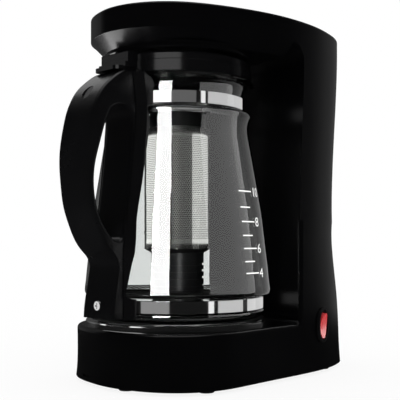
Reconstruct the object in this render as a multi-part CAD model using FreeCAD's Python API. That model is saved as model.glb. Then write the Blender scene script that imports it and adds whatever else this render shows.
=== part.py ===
"""Automatic tea maker: brewing station with a glass carafe, its lid and its tea filter.

Millimetres, +Z up. While it is built the carafe's axis is x = y = 0, the floor is z = 0
and the front of the machine looks along -Y. At the end everything moves so that the
origin is the bottom centre of the bounding box.
"""
import FreeCAD, Part
import math
import os

Vec = FreeCAD.Vector
UP = Vec(0, 0, 1)

# Heights of the machine
FEET_H = 3.0
DECK_Z = 45.5
SEAM_Z = 131.4
HEAD_Z = 277.0
TOP_Z = 296.3
WALL = 2.5

# Half outlines seen from above, from the front middle round to the rear middle
BASE_HALF = [(0, -78.8), (22, -77.3), (50, -67.8), (68, -53.8), (79, -34.8), (81.5, -12.8),
             (77, 14), (71, 42), (65, 73), (59, 99), (54.5, 115), (47.5, 132), (38, 149),
             (26, 164.5), (13, 174), (0, 177)]
HEAD_HALF = [(0, -72.8), (22, -69.3), (42, -57.3), (58, -36.8), (67, -10.8), (72, 19.2),
             (73.2, 46.2), (70, 76.2), (63.5, 102.2), (54, 125.2), (42, 145.2), (24, 160.2),
             (0, 167.2)]
WAIST_SQUEEZE = 0.94
WAIST_REAR_IN = 5.0
SKIRT_FLARE = 0.9
DECK_ROUND = 3.2
TOP_ROUND = 2.4

# Bay for the carafe
BAY_BACK = 80.0
BAY_TOP_ROUND = 14.0
BAY_BOTTOM_ROUND = 3.0

# Cover under the head and the outlet drum
CHAMFER = 10.3
DRUM_R = 61.6
DRUM_Z = 263.5
OUTLET_R = 9.0

# Warming plate
PLATE_R = 71.6
PLATE_Z = 51.5
PLATE_T = 1.6
RING_R = 76.4
DECK_HOLE_R = 73.4

# Heater under the plate: a sheathed element brazed to a water tube
HEAT_R = 46.0
ELEMENT_R = 5.0
WATER_R = 5.4
WATER_BORE = 3.6
ELEMENT_Z = PLATE_Z - PLATE_T - ELEMENT_R
WATER_Z = ELEMENT_Z - ELEMENT_R - WATER_R - 0.4
HEAT_GAP_DEG = 35.0
STUB_Y = 58.0

# Water path
TANK_FRONT = 94.5
TANK_Z = 80.0
TANK_TOP = 284.0
TANK_WALL = 2.0
TANK_GAP = 5.5
HOSE_R = 5.2
HOSE_BORE = 3.4
RISER_Y = 88.6
RISER_TOP_Z = 286.0
VALVE_R = 7.0
VALVE_Z = (62.0, 71.0)
VALVE_X = 12.0
VALVE_Y = 112.0

# Carafe
TURN_DEG = 11.0
GLASS_Z = 51.85
GLASS_T = 3.0
NECK_R = 55.0
RIM_R = 64.0
RIM_Z = 244.6
NECK_BAND = (221.8, 231.1, 56.2)
FOOT_BAND = (59.6, 68.8, 71.8)
GROOVE_R = 70.6

# Handle: radius from the carafe axis and height, outer edge from the top down
HANDLE_OUTER = [(75, 244.6), (81, 241.0), (86.5, 236.8), (92, 232), (97, 226), (101, 219),
                (104, 212), (106.3, 204), (108.5, 194), (110.3, 182), (110.5, 168),
                (109.5, 157), (106.5, 139), (102, 127), (96, 115), (89.5, 107),
                (84, 101.5), (81.6, 95.5), (82.3, 89), (84.3, 78), (86.5, 66), (87.3, 55.5)]
HANDLE_GAP = [(88.5, 210), (92.5, 201), (95.5, 192), (99.3, 180), (101.8, 170), (102.7, 161),
              (101.3, 145), (98.5, 136), (94, 127.5), (88, 120), (81.5, 115), (76.5, 117),
              (74.6, 124), (72.5, 138), (69.9, 156), (67.4, 176), (65.6, 192), (64.8, 205),
              (67.5, 213.5), (75, 217), (83.5, 215.5)]
HANDLE_HALF_W = 17.3
SPINE_OUTER = [(54.5, 76), (96, 76), (108, 76), (130, 72.5), (144, 70.7), (158, 68.6),
               (174, 66.8), (190, 65), (205, 63.6), (220, 63.0), (240, 66.0), (244.5, 66.0)]
SPINE_HALF_W = (18.0, 24.0)

# Lid and filter
LID_R = 61.8
LID_SEAM = 254.7
LID_TOP = 260.4
LEVER_HALF_W = 15.6
LEVER_R = 69.6
TAB_R = 79.5
TAB_Z = (245.6, 248.4)
PLUG_R = 50.0
SOCKET_R = 24.1
FILTER_R = 27.7
HOLDER_R = 23.5
LUG_R = 25.4
MESH_Z = (107.8, 207.2)
PEDESTAL_R = 22.0
PEDESTAL_Z = 58.2
SEAM_TURN_DEG = 77.0

# Rocker switch
SWITCH_AT = Vec(54.2, 115.2, 41.5)
SWITCH_TURN = 21.0
ROCKER = (12.3, 22.0)
BEZEL = (20.0, 30.0)
ROCK_DEG = 5.5

# Tank lid hinge
HINGE_Y = 157.0
HINGE_Z = 294.6
TLID_Z = 296.65
TLID_T = 1.7
FILL_FRONT = 90.0
FILL_REAR = 149.0
FILL_HALF = 44.0

FOOT_SPOTS = [(25, -64), (68, -20), (36, 132)]
SCREW_SPOTS = [(57, -55), (65.5, 38), (26, 150)]


def disc(r, z0, z1, x=0.0, y=0.0):
    return Part.makeCylinder(r, z1 - z0, Vec(x, y, z0))


def ring(r_in, r_out, z0, z1, x=0.0, y=0.0):
    return disc(r_out, z0, z1, x, y).cut(disc(r_in, z0 - 1, z1 + 1, x, y))


def box(x0, x1, y0, y1, z0, z1):
    return Part.makeBox(x1 - x0, y1 - y0, z1 - z0, Vec(x0, y0, z0))


def curve(points, closed=False):
    spline = Part.BSplineCurve()
    spline.interpolate(Points=points, PeriodicFlag=closed)
    return spline


def turned(edges):
    """Solid of revolution about the carafe axis from edges in the x-z plane."""
    face = Part.Face(Part.Wire(Part.__sortEdges__(edges)))
    return face.revolve(Vec(0, 0, 0), UP, 360)


def rz(points):
    return [Vec(r, 0, z) for r, z in points]


def polyline(points):
    return [Part.LineSegment(a, b).toShape() for a, b in zip(points, points[1:])]


def turned_polygon(points):
    corners = rz(points)
    return turned(polyline(corners + corners[:1]))


def inset_half(half, inset):
    """Move a half outline inwards along its own normals."""
    moved = []
    for i, (x, y) in enumerate(half):
        before = half[i - 1] if i else (-half[1][0], half[1][1])
        after = half[i + 1] if i + 1 < len(half) else (-half[i - 1][0], half[i - 1][1])
        dx = after[0] - before[0]
        dy = after[1] - before[1]
        size = math.hypot(dx, dy)
        moved.append((x - dy / size * inset, y + dx / size * inset))
    return moved


def outline(half, z):
    """Closed smooth wire through a half outline and its mirror image."""
    mirrored = [(-x, y) for x, y in half[-2:0:-1]]
    points = [Vec(x, y, z) for x, y in half + mirrored]
    return Part.Wire(curve(points, True).toShape())


def prism(half, z0, z1):
    return Part.Face(outline(half, z0)).extrude(Vec(0, 0, z1 - z0))


def loft(sections):
    return Part.makeLoft([outline(half, z) for half, z in sections], True, False)


def waist_half():
    low, high = HEAD_HALF[0][1], HEAD_HALF[-1][1]
    squeezed = []
    for x, y in HEAD_HALF:
        share = max(0.0, (y - 60) / (high - 60))
        squeezed.append((x * WAIST_SQUEEZE, y - WAIST_REAR_IN * share))
    return squeezed


def mix(a, b, t):
    return [(p[0] + (q[0] - p[0]) * t, p[1] + (q[1] - p[1]) * t) for p, q in zip(a, b)]


def even_half(half, count=15):
    """The same half outline with evenly spaced points, so that two outlines can be mixed."""
    edge = outline(half, 0).Edges[0]
    points = edge.discretize(2 * (count - 1) + 1)[:count]
    even = [(p.x, p.y) for p in points]
    even[0] = (0.0, even[0][1])
    even[-1] = (0.0, even[-1][1])
    return even


def lower_sections(inset):
    """Outlines of the lower shell: the front stays upright, the column draws in upwards."""
    base = even_half(BASE_HALF)
    waist = even_half(waist_half())
    sections = []
    for z, t, flare in ((FEET_H, 0.0, SKIRT_FLARE), (14, 0.0, 0.0), (DECK_Z, 0.16, 0.0),
                        (88, 0.66, 0.0), (SEAM_Z, 1.0, 0.0)):
        half = []
        for (bx, by), (wx, wy) in zip(base, waist):
            rear = min(1.0, max(0.0, (by - 20) / 60.0))
            share = t * rear * rear * (3 - 2 * rear)
            half.append((bx + (wx - bx) * share, by + (wy - by) * share))
        sections.append((inset_half(half, inset - flare), z))
    return sections


def upper_sections(inset):
    waist = waist_half()
    sections = []
    for z, t in ((SEAM_Z, 0.0), (168, 0.03), (205, 0.36), (240, 0.74), (HEAD_Z, 1.0)):
        sections.append((inset_half(mix(waist, HEAD_HALF, t), inset), z))
    return sections


def bay(grow):
    """The space cut out for the carafe, rounded where it meets the head and the deck."""
    block = box(-120, 120, -140, BAY_BACK + grow, DECK_Z - grow, HEAD_Z + grow)
    top, bottom = [], []
    for edge in block.Edges:
        middle = edge.CenterOfMass
        if abs(middle.y - BAY_BACK - grow) < 0.01 and abs(middle.x) < 0.01:
            (top if middle.z > 200 else bottom).append(edge)
    block = block.makeFillet(BAY_TOP_ROUND + grow, top)
    bottom = [e for e in block.Edges if abs(e.CenterOfMass.y - BAY_BACK - grow) < 0.01
              and abs(e.CenterOfMass.z - DECK_Z + grow) < 0.01]
    return block.makeFillet(BAY_BOTTOM_ROUND + grow, bottom)


def oval(width, height, depth):
    """Upright ellipse standing in the y-z plane, as deep as asked along +X."""
    ellipse = Part.Ellipse(Vec(0, 0, 0), height / 2, width / 2).toShape()
    face = Part.Face(Part.Wire(ellipse))
    face.rotate(Vec(0, 0, 0), Vec(0, 1, 0), -90)
    return face.extrude(Vec(depth, 0, 0))


def at_switch(shape):
    """Place a shape made about the origin, looking along +X, on the side of the body."""
    shape.rotate(Vec(0, 0, 0), UP, SWITCH_TURN)
    shape.translate(SWITCH_AT)
    return shape


def lower_body():
    outer = loft(lower_sections(0.0))
    inner = loft(lower_sections(WALL))
    outer = outer.cut(bay(0.0))
    rim = [e for e in outer.Edges if abs(e.BoundBox.ZMin - DECK_Z) < 0.05
           and abs(e.BoundBox.ZMax - DECK_Z) < 0.05 and e.BoundBox.YMin < -50]
    outer = outer.makeFillet(DECK_ROUND, rim)
    shell = outer.cut(inner.cut(bay(WALL)))
    tunnel = oval(BEZEL[0] - 2.6, BEZEL[1] - 2.6, 12)
    tunnel.translate(Vec(-10, 0, 0))
    seat = oval(BEZEL[0] + 0.1, BEZEL[1] + 0.1, 6)
    seat.translate(Vec(-0.75, 0, 0))
    shell = shell.cut(at_switch(tunnel)).cut(at_switch(seat))
    shell = shell.cut(Part.makeCylinder(5.6, 30, Vec(0, 160, 19), Vec(0, 1, 0)))
    for x, width in ((-20.5, 6.5), (-12.5, 2.5)):
        shell = shell.cut(box(x, x + width, -90, -60, 6.2, 7.6))
    collar = box(-55, 55, BAY_BACK + WALL, BAY_BACK + WALL + 2.0, SEAM_Z - 6, SEAM_Z + 5)
    shell = shell.fuse([collar.cut(disc(6.0, 100, 140, -WATER_X, RISER_Y))] + base_posts())
    return shell.cut(disc(DECK_HOLE_R, 40, 60))


def head_shell():
    """The band round the head with its closed top, hollow inside."""
    solid = prism(HEAD_HALF, HEAD_Z, TOP_Z)
    top = [e for e in solid.Edges if abs(e.BoundBox.ZMin - TOP_Z) < 0.05]
    solid = solid.makeFillet(TOP_ROUND, top)
    return solid.cut(prism(inset_half(HEAD_HALF, WALL), HEAD_Z - 1, TOP_Z - WALL))


def fill_opening(shrink, z0, z1):
    """Trapezium with rounded corners above the tank."""
    front, rear = FILL_FRONT + shrink, FILL_REAR - shrink
    wide, narrow = FILL_HALF + 8 - shrink, FILL_HALF - 16 - shrink
    corners = [Vec(-wide, front, z0), Vec(wide, front, z0), Vec(narrow, rear, z0),
               Vec(-narrow, rear, z0)]
    block = Part.Face(Part.Wire(polyline(corners + corners[:1]))).extrude(Vec(0, 0, z1 - z0))
    upright = [e for e in block.Edges if e.BoundBox.ZLength > 0.9 * (z1 - z0)]
    return block.makeFillet(7.0, upright)


def upper_body():
    column = loft(upper_sections(0.0)).cut(loft(upper_sections(WALL)).cut(bay(WALL)))
    column = column.cut(bay(0.0))
    inner_wall = loft(upper_sections(0.1)).common(bay(WALL).cut(bay(0.0)))
    inner_wall = inner_wall.cut(box(-120, 120, -140, BAY_BACK - BAY_TOP_ROUND - 1, 0, 400))
    lip = box(-120, 120, -140, BAY_BACK - BAY_TOP_ROUND + 0.5, 200, 400)
    body = column.cut(lip).fuse([inner_wall.cut(lip), head_shell()])
    body = body.cut(fill_opening(0.0, 285, 310))
    body = body.cut(box(-13.2, 13.2, HINGE_Y - 5.5, HINGE_Y + 4.5, HINGE_Z - 4.5, TOP_Z + 5))
    ears = []
    for side in (-1, 1):
        x0, x1 = sorted((side * 12.6, side * 19.0))
        ear = box(x0, x1, HINGE_Y - 4, HINGE_Y + 4, HINGE_Z - 4.5, TOP_Z - 0.6)
        ears.append(ear)
    body = body.fuse(ears)
    return body.cut(Part.makeCylinder(1.25, 60, Vec(-30, HINGE_Y, HINGE_Z), Vec(1, 0, 0)))


def head_underside():
    """Sloping cover under the head and the round drum the water comes out of."""
    rim = inset_half(HEAD_HALF, 0.5)
    reach = BAY_BACK - BAY_TOP_ROUND
    z_low = HEAD_Z - CHAMFER
    slope = Part.makeLoft([outline(even_half(rim), HEAD_Z), outline(even_half(
        inset_half(HEAD_HALF, CHAMFER + 0.5)), z_low)], True, True)
    hollow = Part.makeLoft([outline(even_half(inset_half(rim, WALL)), HEAD_Z + 0.01), outline(
        even_half(inset_half(HEAD_HALF, CHAMFER + WALL)), z_low + 2)], True, True)
    front = box(-120, 120, -140, reach, 200, 300)
    pan = slope.common(front)
    pan = pan.cut(hollow.common(box(-120, 120, -140, reach - WALL, 200, 300)))
    drum = turned_polygon([(0, DRUM_Z), (DRUM_R - 0.8, DRUM_Z), (DRUM_R, DRUM_Z + 0.8),
                           (DRUM_R, 265.9), (DRUM_R - 0.5, 266.1), (DRUM_R - 0.5, 266.5),
                           (DRUM_R, z_low), (DRUM_R, z_low + 2), (DRUM_R - 2.5, z_low + 2),
                           (DRUM_R - 2.5, DRUM_Z + 2), (0, DRUM_Z + 2)])
    cover = pan.cut(disc(DRUM_R - 2.5, 260, 272)).fuse(drum)
    cover = cover.cut(disc(OUTLET_R, 260, 270))
    for x, y in ((-30, -44), (30, -44)):
        cover = cover.cut(disc(3.4, DRUM_Z - 1, DRUM_Z + 1.2, x, y))
    return cover


def base_plate():
    rim = inset_half(even_half(BASE_HALF), WALL + 0.5)
    plate = prism(rim, FEET_H, FEET_H + 2.4)
    for x, y in both_sides(SCREW_SPOTS):
        plate = plate.fuse(disc(3.2, FEET_H + 2.4, FEET_H + 8, x, y))
        plate = plate.cut(disc(1.9, 0, 20, x, y)).cut(disc(3.6, 0, FEET_H + 1.6, x, y))
    for x, y in both_sides(FOOT_SPOTS):
        plate = plate.cut(disc(3.0, 0, 12, x, y))
    for i in range(7):
        plate = plate.cut(box(-24 + 7 * i, -21 + 7 * i, 30, 62, 0, 12))
    return plate


def both_sides(spots):
    return [(side * x, y) for x, y in spots for side in (1, -1)]


def feet():
    pads = []
    for x, y in both_sides(FOOT_SPOTS):
        pad = disc(6.4, 0, FEET_H, x, y)
        pad = pad.makeChamfer(0.6, [e for e in pad.Edges if e.BoundBox.ZMax < 0.1])
        pads.append(pad.fuse([disc(2.95, FEET_H, FEET_H + 2.4, x, y),
                              disc(3.6, FEET_H + 2.4, FEET_H + 4.0, x, y)]))
    return Part.makeCompound(pads)


def base_screws():
    """Six screws that hold the bottom plate to the shell's bosses."""
    screws = []
    for x, y in both_sides(SCREW_SPOTS):
        head = disc(3.3, FEET_H + 0.1, FEET_H + 1.6, x, y)
        slot = box(x - 2, x + 2, y - 0.35, y + 0.35, 0, FEET_H + 0.9)
        cross = box(x - 0.35, x + 0.35, y - 2, y + 2, 0, FEET_H + 0.9)
        screws.append(head.fuse(disc(1.85, FEET_H + 1.6, 19, x, y)).cut(slot).cut(cross))
    return Part.makeCompound(screws)


def base_posts():
    """Hollow posts inside the lower shell that take the screws."""
    posts = []
    for x, y in both_sides(SCREW_SPOTS):
        top = DECK_Z - WALL + 1.0 if y < BAY_BACK else 30.0
        reach = 4.6 if y < BAY_BACK else 12.0
        post = disc(4.6, FEET_H + 8.05, top, x, y)
        rib = box(x - 1.2, x + 1.2, y, y + reach, FEET_H + 8.05, top)
        posts.append(post.fuse(rib).cut(disc(1.87, 0, 22, x, y)))
    return posts


def warming_plate():
    plate = disc(PLATE_R, PLATE_Z - PLATE_T, PLATE_Z)
    return plate.makeFillet(0.5, [e for e in plate.Edges if e.BoundBox.ZMin > PLATE_Z - 0.1])


def plate_ring():
    return turned_polygon([(PLATE_R + 0.2, 43.5), (PLATE_R + 0.2, 51.0), (PLATE_R + 0.6, 51.5),
                           (73.3, 51.5), (73.9, 51.0), (75.2, 50.6), (76.1, 50.0),
                           (RING_R, 49.2), (RING_R, 45.55), (DECK_HOLE_R - 0.1, 45.55),
                           (DECK_HOLE_R - 0.1, 43.5)])


def bent_tube(r_mid, z, r_tube, grow_ends):
    """C-shaped tube open towards the rear, with straight ends running back along +Y."""
    torus = Part.makeTorus(r_mid, r_tube, Vec(0, 0, z), UP)
    half_x = r_mid * math.sin(math.radians(HEAT_GAP_DEG))
    end_y = r_mid * math.cos(math.radians(HEAT_GAP_DEG))
    wedge = Part.Face(Part.makePolygon([Vec(0, 0, z - 9), Vec(half_x * 3, end_y * 3, z - 9),
                                        Vec(-half_x * 3, end_y * 3, z - 9),
                                        Vec(0, 0, z - 9)])).extrude(Vec(0, 0, 18))
    tube = torus.cut(wedge)
    parts = []
    for side in (-1, 1):
        parts.append(Part.makeSphere(r_tube, Vec(side * half_x, end_y, z)))
        parts.append(Part.makeCylinder(r_tube, STUB_Y - end_y + grow_ends,
                                       Vec(side * half_x, end_y, z), Vec(0, 1, 0)))
    return tube.fuse(parts)


WATER_X = HEAT_R * math.sin(math.radians(HEAT_GAP_DEG))


def heater():
    element = bent_tube(HEAT_R, ELEMENT_Z, ELEMENT_R, -12.0)
    water = bent_tube(HEAT_R, WATER_Z, WATER_R, 0.0)
    bore = bent_tube(HEAT_R, WATER_Z, WATER_BORE, 2.0)
    pins = []
    for side in (-1, 1):
        pins.append(Part.makeCylinder(1.2, 18, Vec(side * WATER_X, STUB_Y - 16, ELEMENT_Z),
                                      Vec(0, 1, 0)))
    web = ring(HEAT_R - 2.2, HEAT_R + 2.2, WATER_Z + 2.5, ELEMENT_Z - 2.5)
    web = web.cut(box(-WATER_X, WATER_X, 0, 100, 0, 100))
    return water.fuse([web]).fuse([element] + pins).cut(bore)


def thermostat():
    can = disc(8.0, 40.5, PLATE_Z - PLATE_T - 1.0)
    flange = disc(11.0, PLATE_Z - PLATE_T - 1.0, PLATE_Z - PLATE_T - 0.02)
    tabs = [box(s * 4 - 1.6, s * 4 + 1.6, -0.4, 0.4, 34, 40.6) for s in (-1, 1)]
    return can.fuse([flange] + tabs)


def thermal_fuse():
    top = PLATE_Z - PLATE_T - 0.05
    tube = Part.makeCylinder(2.6, 17, Vec(-8.5, 24, top - 2.6), Vec(1, 0, 0))
    leads = Part.makeCylinder(0.6, 31, Vec(-15.5, 24, top - 2.6), Vec(1, 0, 0))
    return tube.fuse(leads)


def pipe(corners, bend, r_out, r_in):
    """Round hose along a line of corners, each corner rounded by a tangent arc."""
    edges = []
    start = corners[0]
    for i in range(1, len(corners) - 1):
        back = (corners[i - 1] - corners[i]).normalize()
        ahead = (corners[i + 1] - corners[i]).normalize()
        half = math.acos(max(-1.0, min(1.0, back.dot(ahead)))) / 2
        reach = bend / math.tan(half)
        enter = corners[i] + back * reach
        leave = corners[i] + ahead * reach
        middle_dir = (back + ahead).normalize()
        centre = corners[i] + middle_dir * (bend / math.sin(half))
        middle = centre - middle_dir * bend
        edges.append(Part.LineSegment(start, enter).toShape())
        edges.append(Part.Arc(enter, middle, leave).toShape())
        start = leave
    edges.append(Part.LineSegment(start, corners[-1]).toShape())
    path = Part.Wire(edges)
    along = (corners[1] - corners[0]).normalize()

    def swept(r):
        circle = Part.Wire(Part.makeCircle(r, corners[0], along))
        return path.makePipeShell([circle], True, True)

    return swept(r_out).cut(swept(r_in)) if r_in else swept(r_out)


def cold_hose():
    return pipe([Vec(WATER_X, STUB_Y + 0.05, WATER_Z), Vec(WATER_X, 74, WATER_Z),
                 Vec(VALVE_X, 94, WATER_Z), Vec(VALVE_X, VALVE_Y, WATER_Z),
                 Vec(VALVE_X, VALVE_Y, VALVE_Z[0] - 0.05)], 12.5, HOSE_R, HOSE_BORE)


def riser_tube():
    over = Vec(-WATER_X, RISER_Y, RISER_TOP_Z)
    aim = (Vec(0, 0, RISER_TOP_Z) - over).normalize()
    stub = Vec(0, 0, RISER_TOP_Z) - aim * 21.5
    return pipe([Vec(-WATER_X, STUB_Y + 0.05, WATER_Z), Vec(-WATER_X, RISER_Y, WATER_Z),
                 over, stub], 10.0, HOSE_R, HOSE_BORE)


def hose_clamps():
    """Spring bands: on the two heater stubs, under the valve and at the shower."""
    bands = []
    for side in (-1, 1):
        at = Vec(side * WATER_X, STUB_Y + 3, WATER_Z)
        outer = Part.makeCylinder(HOSE_R + 1.1, 5, at, Vec(0, 1, 0))
        bands.append(outer.cut(Part.makeCylinder(HOSE_R + 0.02, 5, at, Vec(0, 1, 0))))
    bands.append(ring(HOSE_R + 0.02, HOSE_R + 1.1, VALVE_Z[0] - 8, VALVE_Z[0] - 3,
                      VALVE_X, VALVE_Y))
    return Part.makeCompound(bands)


def check_valve():
    """One-way valve between the tank outlet and the cold hose."""
    low, high = VALVE_Z
    barrel = disc(VALVE_R, low, high, VALVE_X, VALVE_Y)
    barrel = barrel.fuse(disc(HOSE_BORE - 0.02, low - 9, low, VALVE_X, VALVE_Y))
    return barrel.cut(disc(2.2, low - 10, high + 1, VALVE_X, VALVE_Y))


def water_tank():
    half = inset_half(waist_half(), TANK_GAP)
    front = box(-120, 120, TANK_FRONT, 300, 0, 400)
    tank = prism(half, TANK_Z, TANK_TOP).common(front)
    inside = prism(inset_half(half, TANK_WALL), TANK_Z + TANK_WALL, TANK_TOP + 1)
    tank = tank.cut(inside.common(box(-120, 120, TANK_FRONT + TANK_WALL, 300, 0, 400)))
    tank = tank.fuse(disc(VALVE_R, VALVE_Z[1] + 0.05, TANK_Z + 1, VALVE_X, VALVE_Y))
    return tank.cut(disc(2.6, 60, TANK_Z + 5, VALVE_X, VALVE_Y))


def shower_head():
    """Funnel box on the drum floor that lets the hot water fall into the lid."""
    low = DRUM_Z + 2.05
    body = disc(14.0, low, 292.0).cut(disc(11.5, low + 3, 289.5))
    body = body.fuse(disc(20.0, low, low + 2.0))
    aim = Vec(-WATER_X, RISER_Y, 0).normalize()
    start = Vec(0, 0, RISER_TOP_Z)
    body = body.fuse(Part.makeCylinder(HOSE_BORE - 0.02, 26.5, start + aim * 2, aim).cut(
        disc(11.5, 200, 300)))
    body = body.cut(Part.makeCylinder(2.2, 40, start, aim))
    spout = disc(OUTLET_R - 0.4, DRUM_Z - 0.6, low + 0.5)
    body = body.fuse(spout)
    body = body.cut(disc(1.6, 250, low + 4))
    for i in range(6):
        a = math.radians(60 * i)
        body = body.cut(disc(1.3, 250, low + 4, 5.4 * math.cos(a), 5.4 * math.sin(a)))
    return body


def switch_bezel():
    width, height = BEZEL
    plate = oval(width, height, 2.6)
    plate.translate(Vec(-0.7, 0, 0))
    sleeve = oval(17.2, 27.2, 11.0)
    sleeve.translate(Vec(-11.0, 0, 0))
    hole = oval(ROCKER[0] + 1.0, ROCKER[1] + 1.6, 30)
    hole.translate(Vec(-20, 0, 0))
    bezel = plate.fuse(sleeve).cut(hole)
    dish = oval(width - 3.4, height - 3.4, 5)
    dish.translate(Vec(1.0, 0, 0))
    bezel = bezel.cut(dish)
    bezel = bezel.cut(Part.makeCylinder(1.6, 40, Vec(-4.0, -20, 0), Vec(0, 1, 0)))
    return at_switch(bezel)


def switch_box():
    """Contact block clipped behind the rocker."""
    block = box(-26, -11.05, -8.2, 8.2, -12.5, 12.5)
    block = block.makeFillet(1.5, [e for e in block.Edges if e.BoundBox.XLength > 10])
    tabs = [box(-32, -25.9, -0.4, 0.4, z - 2.4, z + 2.4) for z in (-6, 6)]
    return at_switch(block.fuse(tabs))


def rocker():
    """Oval rocker with a dished face, at rest with its lower end pressed in."""
    width, height = ROCKER
    body = oval(width, height, 6.6)
    body.translate(Vec(-3.4, 0, 0))
    dish = Part.makeCylinder(46.0, 40, Vec(46.0 + 1.3, -20, 0), Vec(0, 1, 0))
    body = body.cut(dish)
    pin = Part.makeCylinder(1.5, width + 2.2, Vec(-4.0, -width / 2 - 1.1, 0), Vec(0, 1, 0))
    web = oval(7.4, 8.0, 3.0)
    web.translate(Vec(-5.6, 0, 0))
    body = body.fuse([pin, web])
    body.rotate(Vec(-4.0, 0, 0), Vec(0, 1, 0), ROCK_DEG)
    return at_switch(body)


def cord_inlet():
    """Rubber bush in the rear wall where the mains cord comes in."""
    y = 170.6
    bush = Part.makeCylinder(8.5, 1.6, Vec(0, 177.4, 19), Vec(0, 1, 0))
    neck = Part.makeCylinder(5.5, 6.4, Vec(0, y + 0.6, 19), Vec(0, 1, 0))
    flange = Part.makeCylinder(7.0, 1.8, Vec(0, y - 0.9, 19), Vec(0, 1, 0))
    bush = bush.fuse([neck, flange])
    return bush.cut(Part.makeCylinder(3.3, 40, Vec(0, 150, 19), Vec(0, 1, 0)))


def wires():
    """Insulated leads from behind the inlet to the switch and to the thermostat."""
    turn = math.radians(SWITCH_TURN)
    tab = SWITCH_AT + Vec(-32.5 * math.cos(turn), -32.5 * math.sin(turn), 0)
    leads = [pipe([Vec(1.5, 158, 19), Vec(1.5, 146, 19), Vec(tab.x - 1.5, tab.y + 6, 19),
                   Vec(tab.x - 1.5, tab.y + 6, 32)], 4.0, 1.3, 0.0),
             pipe([Vec(-1.7, 158, 19), Vec(-1.7, 130, 19), Vec(-12, 84, 19),
                   Vec(-12, 30, 19), Vec(-4, 6, 19), Vec(-4, 6, 33)], 4.0, 1.3, 0.0)]
    return Part.makeCompound(leads)


def glass_profile():
    """Outer edge of the glass from the foot up to the rim."""
    foot = curve(rz([(66.5, GLASS_Z), (69.5, 52.5), (71.7, 54.2), (72.5, 56.6)]))
    ridge = curve(rz([(GROOVE_R, 69.2), (72.2, 70.3), (74.8, 70.7), (76.5, 71.8), (77.1, 74),
                      (76.6, 80), (75.6, 90), (73.2, 111), (70.6, 134.5), (66.5, 161),
                      (63.8, 178), (61.8, 190), (60.3, 199), (59.5, 208), (60.2, 212.5),
                      (61.4, 215.5), (61.5, 217.4), (60.2, 219.2), (57.2, 220.3),
                      (NECK_R, 221.6)]))
    flare = curve(rz([(NECK_R, 231.3), (55.2, 236), (57.3, 240.2), (61.2, 242.2),
                      (RIM_R, 243.5)]))
    edges = [foot.toShape(),
             Part.LineSegment(Vec(72.5, 0, 56.6), Vec(72.5, 0, 58.2)).toShape(),
             Part.LineSegment(Vec(72.5, 0, 58.2), Vec(GROOVE_R, 0, 59.5)).toShape(),
             Part.LineSegment(Vec(GROOVE_R, 0, 59.5), Vec(GROOVE_R, 0, 69.2)).toShape(),
             ridge.toShape(),
             Part.LineSegment(Vec(NECK_R, 0, 221.6), Vec(NECK_R, 0, 231.3)).toShape(),
             flare.toShape()]
    return edges


def glass_envelope():
    """Everything inside the outer surface of the glass, for trimming the handle."""
    closing = polyline(rz([(RIM_R, 243.5), (63.0, RIM_Z), (0, RIM_Z), (0, GLASS_Z),
                           (66.5, GLASS_Z)]))
    return turned(glass_profile() + closing)


def glass_inside():
    wall = curve(rz([(64.0, 56.0), (66.7, 57.3), (67.6, 60.0), (67.6, 66.5), (69.3, 71.5),
                     (72.8, 73.6), (73.9, 76.0), (73.4, 81), (72.4, 90), (70.1, 111),
                     (67.5, 134.5), (63.4, 161), (60.7, 178), (58.7, 190), (57.2, 199),
                     (56.3, 207.5), (56.6, 211.5), (56.9, 214.2), (55.4, 216.6),
                     (53.0, 218.6), (52.2, 222.0), (52.2, 232), (52.8, 238), (55.2, 242.2),
                     (59.5, RIM_Z + 0.0)]))
    closing = polyline(rz([(59.5, RIM_Z), (59.5, 260), (0, 260), (0, 54.8), (64.0, 56.0)]))
    return turned([wall.toShape()] + closing)


def glass_lip(r, reach):
    """Tilted round bar on the side away from the handle that shapes the pouring lip."""
    lean = Vec(0, math.sin(math.radians(62)), math.cos(math.radians(62)))
    return Part.makeCylinder(r, reach, Vec(0, 48.5, 233.0), lean)


def carafe_glass():
    spout = glass_lip(12.0, 22).common(box(-20, 20, 40, 69, NECK_BAND[1] + 0.1, RIM_Z))
    outside = glass_envelope().fuse(spout)
    inside = glass_inside().fuse(glass_lip(9.8, 30).cut(box(-20, 20, 0, 51, 200, 300)))
    return outside.cut(inside)


def neck_band():
    low, high, r = NECK_BAND
    band = ring(NECK_R + 0.03, r, low, high)
    return band


def foot_band():
    low, high, r = FOOT_BAND
    return ring(GROOVE_R + 0.03, r, low, high)


def handle_side(points, closed):
    """Points of (radius, height) in the handle's own plane; the handle points along -Y."""
    return [Vec(-HANDLE_HALF_W, -r, z) for r, z in points]


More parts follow.
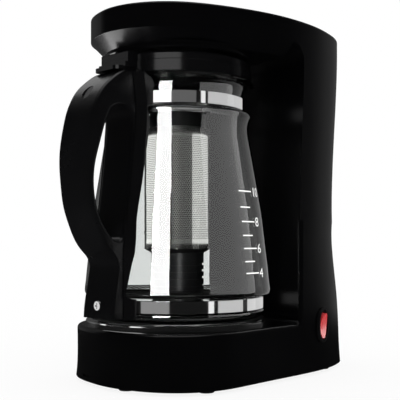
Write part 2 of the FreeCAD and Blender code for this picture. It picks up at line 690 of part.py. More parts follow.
def handle():
    outer = curve(handle_side(HANDLE_OUTER, False)).toShape()
    back = polyline([Vec(-HANDLE_HALF_W, -r, z) for r, z in
                     [(87.3, 55.5), (50, 55.5), (50, 244.6), (75, 244.6)]])
    strap = Part.Face(Part.Wire(Part.__sortEdges__([outer] + back)))
    strap = strap.extrude(Vec(2 * HANDLE_HALF_W, 0, 0))
    rims = [e for e in strap.Edges if e.BoundBox.XLength < 0.01 and e.BoundBox.YMin < -105]
    strap = strap.makeFillet(2.4, rims)
    gap = Part.Wire(curve(handle_side(HANDLE_GAP, True), True).toShape())
    gap_face = Part.Face(gap)
    gap_face.translate(Vec(-20, 0, 0))
    strap = strap.cut(gap_face.extrude(Vec(80, 0, 0)))
    inner = [e for e in strap.Edges if e.BoundBox.XLength < 0.01
             and -104 < e.BoundBox.YMin < -100]
    strap = strap.makeFillet(3.0, inner)
    sections = []
    near, wide = SPINE_HALF_W
    for z, r in SPINE_OUTER:
        sections.append(Part.makePolygon([Vec(-wide, -50, z), Vec(-wide, -r + 6, z),
                                          Vec(-near, -r, z), Vec(near, -r, z),
                                          Vec(wide, -r + 6, z), Vec(wide, -50, z),
                                          Vec(-wide, -50, z)]))
    spine = Part.makeLoft(sections, True, True)
    body = strap.fuse(spine)
    keep_clear = [turned_polygon([(0, 50), (72.6, 50), (72.6, 59.4), (71.9, 59.5),
                                  (71.9, 69.2), (72.5, 69.6), (72.5, 70), (0, 70)]),
                  disc(NECK_BAND[2] + 0.05, 219, 234), disc(LID_R + 1.0, RIM_Z - 1.5, 300)]
    for shape in [envelope_with_gap()] + keep_clear:
        body = body.cut(shape)
    pocket = Part.Face(Part.Wire(Part.Ellipse(Vec(0, 0, 0), 6.5, 5.0).toShape()))
    pocket.rotate(Vec(0, 0, 0), UP, 90)
    pocket = pocket.extrude(Vec(0, 0, 12))
    pocket.rotate(Vec(0, 0, 0), Vec(1, 0, 0), 56)
    pocket.translate(Vec(0, -95.6, 226.4))
    body = body.cut(pocket)
    body = body.cut(Part.makeCylinder(4.3, 10, Vec(0, -85.34, 65), Vec(0, -1, 0)))
    return body.cut(Part.makeCylinder(1.62, 20, Vec(0, -87, 65), Vec(0, 1, 0)))


def envelope_with_gap():
    """The glass as a stack of thin cones, with a hair's breadth added all round."""
    points = []
    for edge in glass_profile():
        points += [(p.x + 0.1, p.z) for p in edge.discretize(Deflection=0.03)]
    kept = points[:1]
    for r, z in points[1:]:
        if math.hypot(r - kept[-1][0], z - kept[-1][1]) > 0.05:
            kept.append((r, z))
    return turned_polygon([(0, kept[0][1])] + kept + [(RIM_R + 0.1, RIM_Z), (0, RIM_Z)])


def handle_screw():
    head = Part.makeCylinder(4.2, 1.9, Vec(0, -85.35, 65), Vec(0, -1, 0))
    head = head.makeFillet(1.0, [e for e in head.Edges if e.BoundBox.YMax < -87.2])
    screw = head.fuse(Part.makeCylinder(1.6, 10.5, Vec(0, -85.4, 65), Vec(0, 1, 0)))
    screw = screw.cut(box(-2.3, 2.3, -90, -86.3, 64.55, 65.45))
    return screw.cut(box(-0.45, 0.45, -90, -86.3, 62.7, 67.3))


def lid_collar():
    """Lower half of the lid: plug in the neck, socket for the filter and thumb tab."""
    body = turned_polygon([(PLUG_R, 235.5), (PLUG_R, RIM_Z + 0.4), (LID_R - 0.6, RIM_Z + 0.4),
                           (LID_R, RIM_Z + 1.0), (LID_R, LID_SEAM - 0.5),
                           (LID_R - 0.5, LID_SEAM - 0.05), (LID_R - 3.0, LID_SEAM - 0.05),
                           (LID_R - 3.0, 252.0), (31.0, 252.0), (31.0, 249.5),
                           (LID_R - 6.0, 249.5), (PLUG_R - 2.4, 247.5), (PLUG_R - 2.4, 235.5)])
    socket = turned_polygon([(SOCKET_R, 236), (28.0, 236), (28.0, 250.5), (33.0, 250.5),
                             (33.0, 252.0), (SOCKET_R, 252.0), (SOCKET_R, 248.0),
                             (LUG_R + 0.5, 248.0), (LUG_R + 0.5, 243.5), (SOCKET_R, 243.5)])
    step = box(-LEVER_HALF_W, LEVER_HALF_W, -LEVER_R - 2.6, -LID_R + 6, 248.2, 252.0)
    block = box(-LEVER_HALF_W, LEVER_HALF_W, -LEVER_R, -LID_R + 6, 250.0, LID_SEAM - 0.05)
    tab = box(-LEVER_HALF_W + 1, LEVER_HALF_W - 1, -TAB_R, -LID_R + 6, *TAB_Z)
    corners = [e for e in tab.Edges if e.BoundBox.YMax < -75 and e.BoundBox.ZLength > 2]
    tab = tab.makeFillet(6.0, corners)
    lever = tab.fuse([step, block]).cut(disc(LID_R - 1.5, 240, 260))
    return body.fuse([socket, lever])


def lid_cap():
    """Upper half of the lid, dished towards the hole the brewing water runs through."""
    block = box(-LEVER_HALF_W, LEVER_HALF_W, -LEVER_R, -LID_R + 6, LID_SEAM, LID_TOP)
    ends = [e for e in block.Edges if e.BoundBox.YMax < -LID_R and e.BoundBox.ZMin > LID_SEAM + 1]
    block = block.makeFillet(1.0, ends).cut(disc(LID_R - 2.5, 240, 270))
    return block.fuse(turned_polygon([(10.0, 255.6), (24, 256.6), (LID_R - 9, 258.2), (LID_R - 6, LID_TOP),
                           (LID_R - 1.6, LID_TOP), (LID_R - 0.4, LID_TOP - 1.4),
                           (LID_R - 0.4, LID_SEAM), (LID_R - 5, LID_SEAM), (LID_R - 8, 254.0),
                           (11.8, 254.0), (11.8, 252.4), (10.0, 252.4)]))


def filter_holder():
    """Black socket above the mesh, held in the lid by two lugs."""
    body = turned_polygon([(FILTER_R - 0.65, 205.2), (FILTER_R - 0.65, 207.3),
                           (HOLDER_R, 208.3), (HOLDER_R, 251.0), (21.3, 251.0),
                           (21.3, 208.3), (22.5, 205.2)])
    lugs = ring(HOLDER_R - 0.5, LUG_R, 244.2, 247.3).common(box(-60, 60, -5, 5, 240, 250))
    return body.fuse(lugs)


def mesh_filter():
    """Thin steel sleeve; the perforations are too many to model one by one."""
    low, high = MESH_Z
    sleeve = ring(FILTER_R - 0.6, FILTER_R, low, high)
    seam = ring(FILTER_R - 0.1, FILTER_R + 0.35, low, high)
    seam = seam.common(box(-1.7, 1.7, -40, 0, 0, 300))
    seam.rotate(Vec(0, 0, 0), UP, SEAM_TURN_DEG - TURN_DEG)
    return sleeve.fuse(seam)


def filter_base():
    """Ribbed foot that closes the mesh at the bottom."""
    body = turned_polygon([(0, PEDESTAL_Z), (PEDESTAL_R - 4, PEDESTAL_Z), (PEDESTAL_R, 61.5),
                           (PEDESTAL_R, 104.5), (FILTER_R - 0.2, MESH_Z[0] - 0.05),
                           (FILTER_R - 0.65, MESH_Z[0] - 0.05), (FILTER_R - 0.65, 110.0),
                           (0, 110.0)])
    for z in (66.5, 72.0, 77.5, 83.0, 88.5, 94.0):
        body = body.cut(ring(PEDESTAL_R - 1.3, PEDESTAL_R + 1, z, z + 2.2))
    return body


def tank_lid():
    plate = fill_opening(-3.2, TLID_Z, TLID_Z + TLID_T)
    rim = fill_opening(0.8, TLID_Z - 5.5, TLID_Z + 0.2)
    rim = rim.cut(fill_opening(2.6, TLID_Z - 6, TLID_Z + 1))
    rim = rim.cut(box(-60, 60, FILL_REAR - 12, 200, 280, 300))
    arm = box(-12.0, 12.0, FILL_REAR - 4, HINGE_Y, TLID_Z, TLID_Z + TLID_T)
    barrel = Part.makeCylinder(3.0, 24, Vec(-12.0, HINGE_Y, HINGE_Z), Vec(1, 0, 0))
    web = box(-12.0, 12.0, HINGE_Y - 2.2, HINGE_Y + 1.0, HINGE_Z, TLID_Z + TLID_T)
    lid = plate.fuse([rim, arm, barrel, web])
    return lid.cut(Part.makeCylinder(1.25, 60, Vec(-30, HINGE_Y, HINGE_Z), Vec(1, 0, 0)))


def hinge_pin():
    return Part.makeCylinder(1.2, 37.6, Vec(-18.8, HINGE_Y, HINGE_Z), Vec(1, 0, 0))


CARAFE_PIECES = {"carafe_glass": carafe_glass, "neck_band": neck_band, "foot_band": foot_band,
                 "handle": handle, "handle_screw": handle_screw, "lid_collar": lid_collar,
                 "lid_cap": lid_cap, "filter_holder": filter_holder,
                 "mesh_filter": mesh_filter, "filter_base": filter_base}
MACHINE_PIECES = {"lower_body": lower_body, "upper_body": upper_body,
                  "head_underside": head_underside, "base_plate": base_plate, "feet": feet,
                  "base_screws": base_screws, "warming_plate": warming_plate,
                  "plate_ring": plate_ring, "heater": heater, "thermostat": thermostat,
                  "thermal_fuse": thermal_fuse, "water_tank": water_tank,
                  "check_valve": check_valve, "cold_hose": cold_hose,
                  "riser_tube": riser_tube, "hose_clamps": hose_clamps,
                  "shower_head": shower_head, "switch_bezel": switch_bezel,
                  "switch_box": switch_box, "rocker": rocker, "cord_inlet": cord_inlet,
                  "wires": wires, "tank_lid": tank_lid, "hinge_pin": hinge_pin}


def all_pieces():
    pieces = {}
    for name, make in MACHINE_PIECES.items():
        pieces[name] = make()
    for name, make in CARAFE_PIECES.items():
        shape = make()
        shape.rotate(Vec(0, 0, 0), UP, TURN_DEG)
        pieces[name] = shape
    return pieces


def save(pieces):
    """Write every piece, moved so that the middle of the whole footprint is the origin."""
    os.makedirs("parts", exist_ok=True)
    whole = FreeCAD.BoundBox()
    for name in ("lower_body", "feet", "handle", "cord_inlet", "tank_lid"):
        for point in pieces[name].tessellate(0.05)[0]:
            whole.add(point)
    shift = Vec(0, -(whole.YMin + whole.YMax) / 2, 0)
    for name, shape in pieces.items():
        shape.translate(shift)
        shape.exportStep("parts/" + name + ".step")
        print(name, "solids", len(shape.Solids), "valid", shape.isValid(),
              "volume", round(shape.Volume, 1))
    print("shift", round(shift.x, 4), round(shift.y, 4), round(shift.z, 4))
    print("size", round(whole.XLength, 2), round(whole.YLength, 2), round(whole.ZLength, 2))


save(all_pieces())
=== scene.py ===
"""Looks of the automatic tea maker: finishes, printed scale, studio and camera."""
import math

import bpy
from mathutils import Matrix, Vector


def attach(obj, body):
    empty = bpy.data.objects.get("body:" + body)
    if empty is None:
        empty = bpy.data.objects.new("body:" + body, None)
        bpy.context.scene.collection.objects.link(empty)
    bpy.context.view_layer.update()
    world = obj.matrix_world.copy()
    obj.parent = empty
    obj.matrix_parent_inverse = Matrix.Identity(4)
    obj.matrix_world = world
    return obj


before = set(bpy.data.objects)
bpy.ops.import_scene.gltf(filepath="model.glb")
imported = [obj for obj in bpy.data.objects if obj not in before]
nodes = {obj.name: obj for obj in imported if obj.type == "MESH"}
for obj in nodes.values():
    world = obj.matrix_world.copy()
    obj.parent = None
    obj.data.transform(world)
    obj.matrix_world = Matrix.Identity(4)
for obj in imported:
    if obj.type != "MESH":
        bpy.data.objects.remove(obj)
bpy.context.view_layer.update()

MM = 0.001
CARAFE_AXIS_Y = -33.7425
CAMERA_TURN = 54.0
PLASTIC_IOR = 1.5


def linear(code):
    """sRGB hex colour as linear light."""
    light = []
    for i in (1, 3, 5):
        v = int(code[i:i + 2], 16) / 255
        light.append(v / 12.92 if v <= 0.04045 else ((v + 0.055) / 1.055) ** 2.4)
    return (*light, 1.0)


def feed(tree, node, *inputs):
    """Sets inputs of a node. Each is a name or number, and a value or another's output."""
    for name, value in inputs:
        if isinstance(value, bpy.types.NodeSocket):
            tree.links.new(value, node.inputs[name])
        else:
            node.inputs[name].default_value = value


def add(tree, kind, *inputs, **settings):
    """Adds a node with its settings and links."""
    node = tree.nodes.new("ShaderNode" + kind)
    for name, value in settings.items():
        setattr(node, name, value)
    feed(tree, node, *inputs)
    return node


def material(name, shader="BsdfPrincipled"):
    """New material, with its tree, its surface shader and its output."""
    made = bpy.data.materials.new(name)
    made.use_nodes = True
    tree = made.node_tree
    tree.nodes.clear()
    surface = add(tree, shader)
    out = add(tree, "OutputMaterial", ("Surface", surface.outputs[0]))
    return made, tree, surface, out


def place(tree):
    """Coordinates in millimetres from the origin of the object."""
    coords = add(tree, "TexCoord")
    scaled = add(tree, "VectorMath", (0, coords.outputs["Object"]), ("Scale", 1 / MM),
                 operation="SCALE")
    return scaled.outputs[0]


def moulded(name, dark, light, rough, patch_mm=40.0, grain_mm=0.9, grain_depth=0.0015,
            sink_depth=0.0, gloss=0.5):
    """Injection-moulded plastic: uneven gloss in patches, the grain of the mould and, where
    sink_depth is given, soft waves 60 mm long from shrinking. The grain of a real mould is
    finer than a tenth of a millimetre, and is drawn coarser so that it shows."""
    made, tree, surface, _ = material(name)
    where = place(tree)
    patches = add(tree, "TexNoise", ("Vector", where), ("Scale", 1 / patch_mm), ("Detail", 4.0))
    colour = add(tree, "Mix", ("Factor", patches.outputs["Fac"]), ("A", linear(dark)),
                 ("B", linear(light)), data_type="RGBA")
    uneven = add(tree, "MapRange", ("Value", patches.outputs["Fac"]), ("To Min", rough * 0.85),
                 ("To Max", rough * 1.15))
    grain = add(tree, "TexNoise", ("Vector", where), ("Scale", 1 / grain_mm), ("Detail", 3.0))
    height = grain.outputs["Fac"]
    if sink_depth:
        waves = add(tree, "TexNoise", ("Vector", where), ("Scale", 1 / 60.0), ("Detail", 1.0))
        deep = add(tree, "Math", (0, waves.outputs["Fac"]), (1, sink_depth / grain_depth),
                   operation="MULTIPLY")
        height = add(tree, "Math", (0, height), (1, deep.outputs[0]), operation="ADD").outputs[0]
    relief = add(tree, "Bump", ("Height", height), ("Strength", 1.0),
                 ("Distance", grain_depth * MM))
    feed(tree, surface, ("Base Color", colour.outputs["Result"]),
         ("Roughness", uneven.outputs[0]), ("Normal", relief.outputs[0]),
         ("IOR", PLASTIC_IOR), ("Specular IOR Level", gloss))
    return made


def metal(name, tint, rough, line_mm=(0.4, 0.4, 30.0), line_depth=0.001):
    """Bare metal with the fine lines that rolling, turning or polishing leaves. line_mm is
    how long a line is in each direction. Real lines are finer, and are drawn to show."""
    made, tree, surface, _ = material(name)
    along = add(tree, "VectorMath", (0, place(tree)), (1, line_mm), operation="DIVIDE")
    lines = add(tree, "TexNoise", ("Vector", along.outputs[0]), ("Scale", 1.0), ("Detail", 3.0))
    uneven = add(tree, "MapRange", ("Value", lines.outputs["Fac"]), ("To Min", rough * 0.7),
                 ("To Max", rough * 1.3))
    relief = add(tree, "Bump", ("Height", lines.outputs["Fac"]), ("Strength", 1.0),
                 ("Distance", line_depth * MM))
    feed(tree, surface, ("Metallic", 1.0), ("Base Color", linear(tint)),
         ("Roughness", uneven.outputs[0]), ("Normal", relief.outputs[0]))
    return made


# Rows of holes up the sleeve, holes round it, and a hole's radius as a share of that spacing.
HOLE_ROW_MM = 1.5
HOLES_ROUND = 100
HOLE_SHARE = 0.3
PUNCHED_FROM = 116.0
PUNCHED_TO = 199.0


def perforated_sheet():
    """Stainless sheet, punched with staggered rows of round holes between two plain rims.
    The steel mirrors softly. The holes are tinted grey as painted shade of the dark inside, and
    turn it to a fine grey screen."""
    made, tree, surface, out = material("perforated stainless sheet")
    where = place(tree)
    centre = add(tree, "VectorMath", (0, where), (1, (0, CARAFE_AXIS_Y, 0)),
                 operation="SUBTRACT")
    split = add(tree, "SeparateXYZ", ("Vector", centre.outputs[0]))
    height = split.outputs["Z"]
    turn = add(tree, "Math", (0, split.outputs["X"]), (1, split.outputs["Y"]),
               operation="ARCTAN2")
    columns = add(tree, "Math", (0, turn.outputs[0]), (1, HOLES_ROUND / (2 * math.pi)),
                  operation="MULTIPLY")
    rows = add(tree, "Math", (0, height), (1, HOLE_ROW_MM), operation="DIVIDE")
    row = add(tree, "Math", (0, rows.outputs[0]), operation="FLOOR")
    odd = add(tree, "Math", (0, row.outputs[0]), (1, 2.0), operation="MODULO")
    stagger = add(tree, "Math", (0, odd.outputs[0]), (1, 0.5), operation="MULTIPLY")
    columns = add(tree, "Math", (0, columns.outputs[0]), (1, stagger.outputs[0]),
                  operation="ADD")
    positive = add(tree, "Math", (0, columns.outputs[0]), (1, 2.0 * HOLES_ROUND),
                   operation="ADD")
    across = add(tree, "Math", (0, positive.outputs[0]), operation="FRACT")
    up = add(tree, "Math", (0, rows.outputs[0]), operation="FRACT")
    cell = add(tree, "CombineXYZ", ("X", across.outputs[0]), ("Y", up.outputs[0]), ("Z", 0.5))
    away = add(tree, "VectorMath", (0, cell.outputs[0]), (1, (0.5, 0.5, 0.5)),
               operation="DISTANCE")
    hole = add(tree, "Math", (0, away.outputs["Value"]), (1, HOLE_SHARE),
               operation="LESS_THAN")
    above = add(tree, "Math", (0, height), (1, PUNCHED_FROM), operation="GREATER_THAN")
    below = add(tree, "Math", (0, height), (1, PUNCHED_TO), operation="LESS_THAN")
    punched = add(tree, "Math", (0, above.outputs[0]), (1, below.outputs[0]),
                  operation="MULTIPLY")
    hole = add(tree, "Math", (0, hole.outputs[0]), (1, punched.outputs[0]),
               operation="MULTIPLY")
    smudge = add(tree, "TexNoise", ("Vector", where), ("Scale", 1 / 25.0), ("Detail", 3.0))
    uneven = add(tree, "MapRange", ("Value", smudge.outputs["Fac"]), ("To Min", 0.12),
                 ("To Max", 0.2))
    feed(tree, surface, ("Metallic", 1.0), ("Base Color", linear("#cfcfcc")),
         ("Roughness", uneven.outputs[0]))
    # Painted shade: the holes pass only a grey share of what is behind them.
    hole_with_painted_shade = add(tree, "BsdfTransparent", ("Color", linear("#8a8a8a")))
    mix = add(tree, "MixShader", (0, hole.outputs[0]), (1, surface.outputs[0]),
              (2, hole_with_painted_shade.outputs[0]))
    feed(tree, out, ("Surface", mix.outputs[0]))
    return made


def blown_glass():
    """Borosilicate glass, blown in a mould: clear, with very slight waves that bend the
    edges of what it mirrors."""
    made, tree, surface, _ = material("blown borosilicate glass")
    waves = add(tree, "TexNoise", ("Vector", place(tree)), ("Scale", 1 / 45.0), ("Detail", 1.0))
    relief = add(tree, "Bump", ("Height", waves.outputs["Fac"]), ("Strength", 0.25),
                 ("Distance", 0.06 * MM))
    feed(tree, surface, ("Base Color", linear("#f0f2f1")), ("Transmission Weight", 1.0),
         ("IOR", 1.47), ("Roughness", 0.0), ("Normal", relief.outputs[0]))
    return made


def red_lens():
    """Translucent red polycarbonate, moulded: a soft glow inside and a cloudy tint."""
    made, tree, surface, _ = material("translucent red polycarbonate")
    cloud = add(tree, "TexNoise", ("Vector", place(tree)), ("Scale", 1 / 4.0), ("Detail", 3.0))
    colour = add(tree, "Mix", ("Factor", cloud.outputs["Fac"]), ("A", linear("#b3141a")),
                 ("B", linear("#e8575a")), data_type="RGBA")
    uneven = add(tree, "MapRange", ("Value", cloud.outputs["Fac"]), ("To Min", 0.15),
                 ("To Max", 0.28))
    feed(tree, surface, ("Base Color", colour.outputs["Result"]),
         ("Roughness", uneven.outputs[0]), ("Subsurface Weight", 0.35),
         ("Subsurface Radius", (0.004, 0.001, 0.001)), ("IOR", 1.58))
    return made


def printed_white():
    """Ceramic ink, screen printed and fired: opaque white, a little rougher than the glass, with
    a faint painted glow that keeps it bright.
    """
    made, tree, surface, _ = material("fired white screen print with painted glow")
    speck = add(tree, "TexNoise", ("Vector", place(tree)), ("Scale", 2.0), ("Detail", 2.0))
    uneven = add(tree, "MapRange", ("Value", speck.outputs["Fac"]), ("To Min", 0.35),
                 ("To Max", 0.55))
    # The emission is a painted glow: the white ink shines a little by itself.
    feed(tree, surface, ("Base Color", linear("#f4f4f2")), ("Roughness", uneven.outputs[0]),
         ("Emission Color", linear("#ffffff")), ("Emission Strength", 0.35))
    return made


# ABS from a polished mould: deep black, with slow soft reflections.
shell_black = moulded("gloss black ABS shell", "#020203", "#050506", 0.24, grain_depth=0.0004,
                      sink_depth=0.02, gloss=0.3)
# Polypropylene from a polished mould: the glossiest black of the carafe.
lid_black = moulded("black polypropylene lid", "#050506", "#0a0a0b", 0.15, 30.0,
                    grain_depth=0.0005)
# Polypropylene from a plain mould: broad satin highlights along the grip.
handle_black = moulded("black polypropylene handle", "#050506", "#0a0a0c", 0.26, 30.0)
# Moulded polypropylene that nobody sees: dull dark grey.
inner_plastic = moulded("grey inner moulding", "#17171a", "#202024", 0.5)
# ABS from a spark-eroded mould: an even fine grain that breaks up reflections.
bezel_black = moulded("spark-eroded black bezel", "#040405", "#08080a", 0.42, 12.0, 0.3, 0.01)
# Moulded nylon: satin black, a little greyer than the lid.
nylon_black = moulded("black nylon filter parts", "#060607", "#0c0c0e", 0.34, 20.0)
# Moulded rubber: matt and slightly grey.
soft_rubber = moulded("matt black rubber", "#0c0c0c", "#161616", 0.7, 10.0, 0.4, 0.01)
# Uncoloured moulded polypropylene: milky and dull.
tank_pp = moulded("natural polypropylene tank", "#c9cac8", "#d8d9d6", 0.45)
# Extruded silicone: milky, with a soft sheen.
silicone = moulded("silicone tube", "#c9c9c4", "#dadad5", 0.4, 15.0)
# Extruded PVC: plain grey and satin.
pvc = moulded("wire insulation", "#6d6f74", "#7d8086", 0.5, 8.0)
# Sprayed and baked non-stick enamel: near black, with a fine speckled sheen.
enamel = moulded("non-stick enamel of the plate", "#0a0a0b", "#161617", 0.33, 20.0, 0.5, 0.006)
# Stainless strip, polished round the band: a clean mirror with sharp edges.
band_chrome = metal("polished stainless band", "#dcdcdc", 0.07, (40.0, 40.0, 0.5), 0.0006)
# Pressed and plated steel: bright, a little softer than the bands.
ring_chrome = metal("pressed bright rim", "#cfcfcf", 0.12, (30.0, 30.0, 0.5), 0.001)
# Zinc plate on steel: pale and slightly cloudy.
zinc = metal("zinc-plated steel", "#b9bcc0", 0.3)
# Aluminium as it leaves the extruder: dull silver with upright lines.
aluminium = metal("extruded aluminium", "#b4b5b7", 0.4)
# Brass as it leaves the machine: yellow, with fine tool lines.
brass = metal("machined brass", "#c9a35a", 0.25, (0.3, 20.0, 20.0))
glass = blown_glass()
sheet = perforated_sheet()
rocker_red = red_lens()
glowing_print_white = printed_white()

FINISHES = {
    shell_black: ("lower_body", "upper_body", "head_underside", "tank_lid"),
    lid_black: ("lid_collar", "lid_cap"),
    handle_black: ("handle",),
    inner_plastic: ("base_plate", "shower_head", "switch_box"),
    bezel_black: ("switch_bezel",),
    nylon_black: ("filter_holder", "filter_base"),
    soft_rubber: ("feet", "cord_inlet"),
    tank_pp: ("water_tank",),
    silicone: ("cold_hose", "riser_tube"),
    pvc: ("wires",),
    enamel: ("warming_plate",),
    band_chrome: ("neck_band", "foot_band", "handle_screw"),
    ring_chrome: ("plate_ring",),
    zinc: ("base_screws", "thermostat", "thermal_fuse", "hose_clamps", "hinge_pin"),
    aluminium: ("heater",),
    brass: ("check_valve",),
    glass: ("carafe_glass",),
    sheet: ("mesh_filter",),
    rocker_red: ("rocker",),
}
for finish, names in FINISHES.items():
    for name in names:
        slots = nodes[name].data.materials
        for i in range(len(slots)):
            slots[i] = finish
        if not len(slots):
            slots.append(finish)


# Height and outer radius of the glass beside the printed scale.
GLASS_WALL = [(74, 77.1), (80, 76.6), (90, 75.6), (111, 73.2), (134.5, 70.6), (161, 66.5),
              (178, 63.8), (190, 61.8)]
INK_LIFT = 0.12
SCALE_START = CAMERA_TURN + 46.6
# Cups and the height of their line.
SCALE_MARKS = [(10, 154.0), (9, 141.2), (8, 129.8), (7, 118.9), (6, 108.7), (5, 98.5),
               (4, 89.3)]
LONG_LINE = 18.0
SHORT_LINE = 13.0
LINE_WIDTH = 1.0
LINE_STEPS = 8
NUMBER_AT = 19.3
NUMBER_SIZE = 10.5
NUMBER_STRETCH = 1.4
NUMBER_DROP = 3.6


def wall_radius(z):
    """Outer radius of the glass at a height, in millimetres."""
    for (z0, r0), (z1, r1) in zip(GLASS_WALL, GLASS_WALL[1:]):
        if z <= z1:
            return r0 + (r1 - r0) * (z - z0) / (z1 - z0)
    return GLASS_WALL[-1][1]


def on_glass(along, z):
    """Point on the glass at an arc length from the start of the scale."""
    r = wall_radius(z) + INK_LIFT
    turn = math.radians(SCALE_START) + along / r
    return (r * math.sin(turn) * MM, (CARAFE_AXIS_Y - r * math.cos(turn)) * MM, z * MM)


def printed(name, points, faces):
    """Piece of ink on the glass, from points laid out flat."""
    mesh = bpy.data.meshes.new(name)
    mesh.from_pydata([on_glass(*p) for p in points], [], faces)
    piece = bpy.data.objects.new(name, mesh)
    bpy.context.scene.collection.objects.link(piece)
    mesh.materials.append(glowing_print_white)
    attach(piece, "carafe")


def scale_lines():
    """One line for each cup, longer for the even ones."""
    points, faces = [], []
    for cups, z in SCALE_MARKS:
        length = SHORT_LINE if cups % 2 else LONG_LINE
        first = len(points)
        for i in range(LINE_STEPS + 1):
            along = length * i / LINE_STEPS
            points += [(along, z - LINE_WIDTH / 2), (along, z + LINE_WIDTH / 2)]
        for i in range(LINE_STEPS):
            k = first + 2 * i
            faces.append((k, k + 2, k + 3, k + 1))
    printed("scale_lines", points, faces)


def scale_number(cups, z):
    """Numeral beside a long line, wrapped round the glass."""
    text = bpy.data.curves.new("number", "FONT")
    text.body = str(cups)
    text.size = NUMBER_SIZE
    holder = bpy.data.objects.new("number", text)
    bpy.context.scene.collection.objects.link(holder)
    bpy.context.view_layer.update()
    flat = bpy.data.meshes.new_from_object(holder)
    bpy.data.objects.remove(holder)
    points = [(NUMBER_AT + NUMBER_STRETCH * v.co.x, z - NUMBER_DROP + v.co.y)
              for v in flat.vertices]
    printed("scale_number_" + str(cups), points, [tuple(p.vertices) for p in flat.polygons])


scale_lines()
for cups, z in SCALE_MARKS:
    if cups % 2 == 0:
        scale_number(cups, z)


FLOOR_HALF = 12.0


def studio_floor():
    """Pale seamless floor. In the gloss it is dark near the machine, as on a light table,
    and gone further out."""
    made, tree, surface, out = material("pale seamless floor", "BsdfDiffuse")
    feed(tree, surface, ("Color", linear("#f2f2f2")))
    white = add(tree, "Emission", ("Strength", 1.03))
    seen = add(tree, "MixShader", (0, 0.85), (1, surface.outputs[0]), (2, white.outputs[0]))
    away = add(tree, "VectorMath", (0, place(tree)), operation="LENGTH")
    far = add(tree, "MapRange", ("Value", away.outputs["Value"]), ("From Min", 420.0),
              ("From Max", 760.0), ("To Min", 0.0), ("To Max", 1.0))
    dark = add(tree, "Emission", ("Strength", 0.006))
    clear = add(tree, "BsdfTransparent")
    mirrored = add(tree, "MixShader", (0, far.outputs[0]), (1, dark.outputs[0]),
                   (2, clear.outputs[0]))
    path = add(tree, "LightPath")
    mix = add(tree, "MixShader", (0, path.outputs["Is Glossy Ray"]), (1, seen.outputs[0]),
              (2, mirrored.outputs[0]))
    feed(tree, out, ("Surface", mix.outputs[0]))
    corners = [(-1, -1), (1, -1), (1, 1), (-1, 1)]
    mesh = bpy.data.meshes.new("floor")
    mesh.from_pydata([(x * FLOOR_HALF, y * FLOOR_HALF, 0) for x, y in corners], [],
                     [(0, 1, 2, 3)])
    mesh.materials.append(made)
    floor = bpy.data.objects.new("floor", mesh)
    bpy.context.scene.collection.objects.link(floor)


# Dim grey of the studio round the object: degrees to the right of the camera, brightness.
DIM_GREYS = [(-180, 0.05), (-150, 0.08), (-126, 0.2), (-112, 0.008), (-41, 0.01), (30, 0.01),
             (92, 0.012), (112, 0.07), (128, 0.15), (150, 0.17), (165, 0.03), (180, 0.03)]
CEILING = 1.2


def studio_world():
    """White for the camera, behind glass and on matt surfaces. Gloss sees the dim greys and
    a bright ceiling."""
    world = bpy.data.worlds.new("studio")
    bpy.context.scene.world = world
    world.use_nodes = True
    tree = world.node_tree
    tree.nodes.clear()
    way = add(tree, "TexCoord").outputs["Generated"]
    turn = math.radians(CAMERA_TURN)
    ahead = add(tree, "VectorMath", (0, way), (1, (math.sin(turn), -math.cos(turn), 0)),
                operation="DOT_PRODUCT")
    right = add(tree, "VectorMath", (0, way), (1, (math.cos(turn), math.sin(turn), 0)),
                operation="DOT_PRODUCT")
    angle = add(tree, "Math", (0, right.outputs["Value"]), (1, ahead.outputs["Value"]),
                operation="ARCTAN2")
    share = add(tree, "Math", (0, angle.outputs[0]), (1, 1 / (2 * math.pi)), (2, 0.5),
                operation="MULTIPLY_ADD")
    ramp = add(tree, "ValToRGB", ("Fac", share.outputs[0]))
    stops = ramp.color_ramp.elements
    while len(stops) < len(DIM_GREYS):
        stops.new(0.5)
    for stop, (degrees, level) in zip(stops, DIM_GREYS):
        stop.position = degrees / 360 + 0.5
        stop.color = (level, level, level, 1.0)
    z = add(tree, "SeparateXYZ", ("Vector", way)).outputs["Z"]
    low = add(tree, "MapRange", ("Value", z), ("From Min", 0.75), ("From Max", 0.9),
              ("To Min", 1.0), ("To Max", 0.0))
    high = add(tree, "MapRange", ("Value", z), ("From Min", 0.8), ("From Max", 0.95),
               ("To Min", 0.0), ("To Max", CEILING))
    level = add(tree, "Math", (0, ramp.outputs["Color"]), (1, low.outputs[0]),
                (2, high.outputs[0]), operation="MULTIPLY_ADD")
    studio = add(tree, "Background", ("Color", linear("#ffffff")), ("Strength", level.outputs[0]))
    white = add(tree, "Background", ("Color", linear("#ffffff")), ("Strength", 1.0))
    path = add(tree, "LightPath")
    unmirrored = add(tree, "Math", (0, path.outputs["Glossy Depth"]), (1, 0.5),
                     operation="LESS_THAN")
    through = add(tree, "Math", (0, path.outputs["Is Transmission Ray"]),
                  (1, unmirrored.outputs[0]), operation="MULTIPLY")
    seen = add(tree, "Math", (0, path.outputs["Is Camera Ray"]), (1, through.outputs[0]),
               operation="MAXIMUM")
    seen = add(tree, "Math", (0, seen.outputs[0]), (1, path.outputs["Is Diffuse Ray"]),
               operation="MAXIMUM")
    mix = add(tree, "MixShader", (0, seen.outputs[0]), (1, studio.outputs[0]),
              (2, white.outputs[0]))
    add(tree, "OutputWorld", ("Surface", mix.outputs[0]))


WATTS_PER_SQUARE_METRE = 4.0
GLASS = ("carafe_glass",)
BANDS = ("neck_band", "foot_band", "handle_screw")
LID = ("lid_collar", "lid_cap")
SHELL = ("lower_body",)


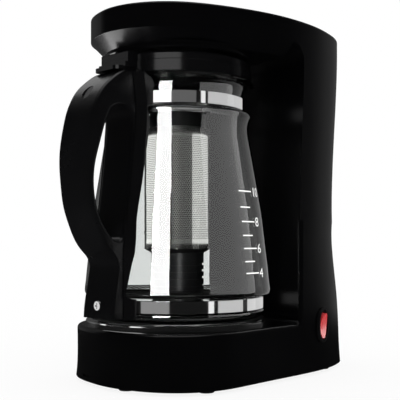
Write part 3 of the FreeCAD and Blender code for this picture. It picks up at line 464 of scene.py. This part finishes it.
def soft_box(name, turn, lift, away, size, level, lit, height=150.0, through=True):
    """Light card that shines only on the pieces named in lit. It stands turn degrees to the
    right of the camera and lift degrees up, seen from the carafe's axis at the height.
    Without through, it doesn't show behind glass. Level 1 is WATTS_PER_SQUARE_METRE."""
    data = bpy.data.lights.new(name, "AREA")
    data.shape = "RECTANGLE"
    data.size, data.size_y = size[0] * MM, size[1] * MM
    data.energy = level * WATTS_PER_SQUARE_METRE * data.size * data.size_y
    piece = bpy.data.objects.new(name, data)
    bpy.context.scene.collection.objects.link(piece)
    around, up = math.radians(CAMERA_TURN + turn), math.radians(lift)
    aim = Vector((0, CARAFE_AXIS_Y * MM, height * MM))
    way = Vector((math.sin(around) * math.cos(up), -math.cos(around) * math.cos(up),
                  math.sin(up)))
    piece.location = aim + way * away * MM
    piece.rotation_euler = (-way).to_track_quat("-Z", "Y").to_euler()
    piece.visible_camera = False
    piece.visible_transmission = through
    chosen = bpy.data.collections.new(name + " lights these")
    for node in lit:
        chosen.objects.link(nodes[node])
    piece.light_linking.receiver_collection = chosen


def cards_for_the_glass():
    """A white strip at the left and a grey window at the right."""
    soft_box("left strip", -17, 4, 330, (118, 420), 21, GLASS, through=False)
    soft_box("right window for the glass", 71, 4, 400, (530, 420), 1.7, GLASS, through=False)
    soft_box("card in the bay for the glass", 97, 0, 83, (92, 200), 0.32, GLASS, 155, False)


def cards_for_the_bands():
    """The same strip and window, weaker, with greys and dark gaps between them."""
    soft_box("left strip for the neck band", -24.5, 4, 330, (195, 420), 1.3, ("neck_band",))
    soft_box("left strip for the foot band", -24.5, 4, 330, (205, 420), 0.25, ("foot_band",))
    soft_box("front grey for the neck band", 12, 4, 400, (265, 420), 0.11, ("neck_band",))
    soft_box("thin strip", 42, 4, 400, (50, 420), 0.9, BANDS)
    soft_box("right window for the bands", 70, 4, 400, (280, 420), 0.55, BANDS, through=False)
    soft_box("card in the bay for the bands", 97, 0, 83, (92, 200), 0.6, BANDS, 155, False)
    soft_box("card for the screw", -93, -6, 300, (300, 260), 0.7, ("handle_screw",), 65)


def cards_in_the_carafe():
    """Small cards round the filter at rest, which only the filter mirrors."""
    for name, turn, width, level in (("sleeve, front", 15, 42, 0.14),
                                     ("sleeve, right", 72, 56, 0.95),
                                     ("sleeve, left", -77, 48, 1.3)):
        soft_box(name, turn, 0, 45, (width, 92), level, ("mesh_filter",), 158, False)
    soft_box("glint on the pedestal", 8, 0, 52, (8, 60), 3, ("filter_base",), 98, False)


def cards_for_the_black_parts():
    """Highlights that show the shapes of the lid, the handle, the head and the deck."""
    soft_box("strip for the lid", -12, 12, 400, (260, 200), 1, LID, 250)
    soft_box("card for the lever", -85, 14, 400, (240, 200), 0.22, LID, 250)
    soft_box("low card for the head", -104, -46, 230, (420, 200), 4, ("head_underside",), 262)
    soft_box("high card for the handle", -130, 36, 350, (200, 120), 0.6, ("handle",), 220)
    soft_box("front of the deck's edge", -38, 52, 500, (60, 260), 1.2, SHELL, 45)
    soft_box("side of the deck's edge", 132, 38, 500, (200, 200), 2, SHELL, 45)
    soft_box("glint on the plate rim", -70, 4, 400, (500, 200), 1.2, ("plate_ring",))
    soft_box("card for the rocker", 122, -4, 400, (70, 160), 6, ("rocker",), 60)


# Camera of the photograph: its place from the carafe's axis at floor level, in mm, and its
# focal length and shifts in pixels of the 400 pixel frame.
CAMERA_X = 564.3
CAMERA_Y = -383.6
CAMERA_Z = 115.0
FRAME_PIXELS = 400
FOCAL_PIXELS = 812
SHIFT_PIXELS = (-3.0, 40.4)


def camera():
    """Level camera that looks along CAMERA_TURN."""
    data = bpy.data.cameras.new("camera")
    piece = bpy.data.objects.new("camera", data)
    bpy.context.scene.collection.objects.link(piece)
    piece.location = (CAMERA_X * MM, (CAMERA_Y + CARAFE_AXIS_Y) * MM, CAMERA_Z * MM)
    piece.rotation_euler = (math.radians(90), 0, math.radians(CAMERA_TURN))
    data.sensor_width = 36.0
    data.lens = data.sensor_width * FOCAL_PIXELS / FRAME_PIXELS
    data.shift_x = SHIFT_PIXELS[0] / FRAME_PIXELS
    data.shift_y = SHIFT_PIXELS[1] / FRAME_PIXELS
    bpy.context.scene.camera = piece


studio_floor()
studio_world()
cards_for_the_glass()
cards_for_the_bands()
cards_in_the_carafe()
cards_for_the_black_parts()
camera()
bpy.context.scene.view_settings.view_transform = "Standard"
